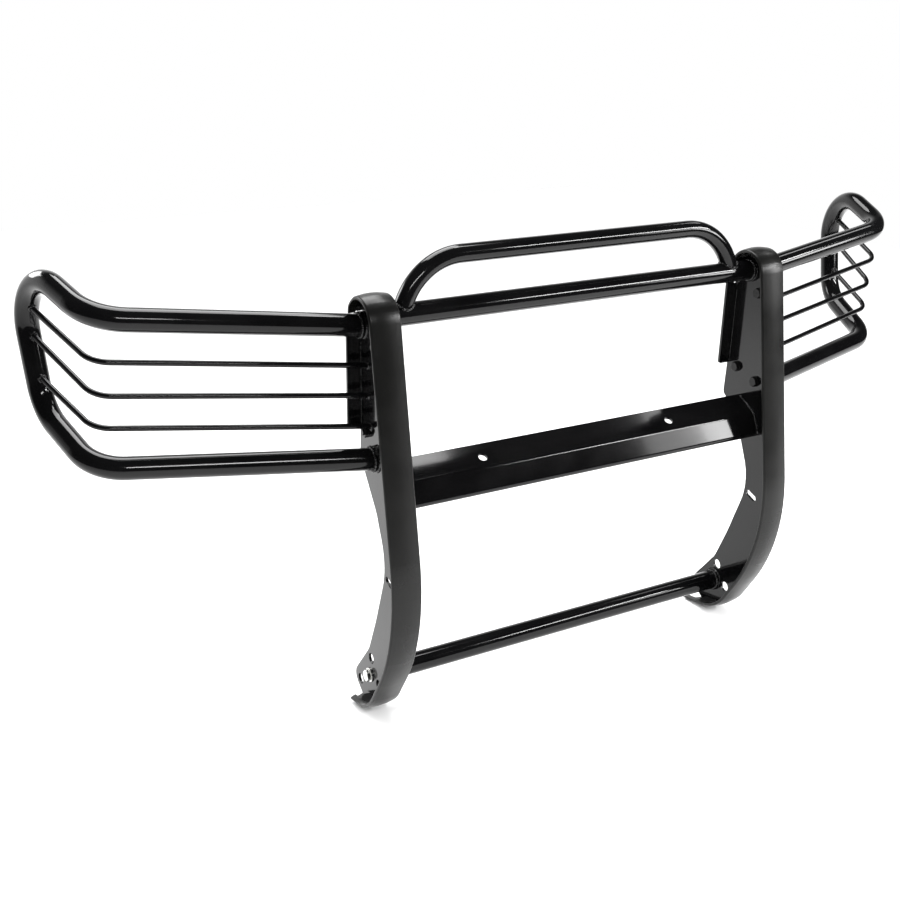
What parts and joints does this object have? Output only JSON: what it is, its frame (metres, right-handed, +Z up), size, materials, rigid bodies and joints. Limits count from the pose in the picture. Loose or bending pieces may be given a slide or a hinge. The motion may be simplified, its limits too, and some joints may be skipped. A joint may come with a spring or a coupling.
{
  "type": "front grille guard",
  "caption": "Black powder-coated front grille guard with curved upright plates, rubber face strips, a bent top hoop, a folded cross beam and wrap-round headlamp wings.",
  "frame": {"origin": "axis of the bottom cross tube at mid-span", "axes": "+X to the guard's right-hand side seen from behind it, -Y forward away from the vehicle, +Z up"},
  "size_m": [1.7932, 0.4043, 0.8346],
  "materials": {
    "powder_coat": "gloss",
    "strip_rubber": "satin",
    "black_fastener": "satin",
    "zinc_fastener": "satin"
  },
  "bodies": {
    "root": {"left_upright_plate": "powder_coat", "right_upright_plate": "powder_coat", "left_rear_flange": "powder_coat", "right_rear_flange": "powder_coat", "left_face_bar": "powder_coat", "right_face_bar": "powder_coat", "top_cross_tube": "powder_coat", "bottom_cross_tube": "powder_coat", "top_hoop": "powder_coat", "cross_beam": "powder_coat", "cross_member_welds": "powder_coat", "bottom_tube_plugs": "powder_coat", "left_wing_tube": "powder_coat", "left_upper_wing_rod": "powder_coat", "left_middle_wing_rod": "powder_coat", "left_lower_wing_rod": "powder_coat", "left_wing_welds": "powder_coat", "right_wing_tube": "powder_coat", "right_upper_wing_rod": "powder_coat", "right_middle_wing_rod": "powder_coat", "right_lower_wing_rod": "powder_coat", "right_wing_welds": "powder_coat", "left_face_strip": "strip_rubber", "right_face_strip": "strip_rubber", "plate_bolts": "black_fastener", "plate_washers": "black_fastener", "plate_nuts": "black_fastener", "foot_bolts": "zinc_fastener", "foot_washers": "zinc_fastener"}
  },
  "joints": []
}
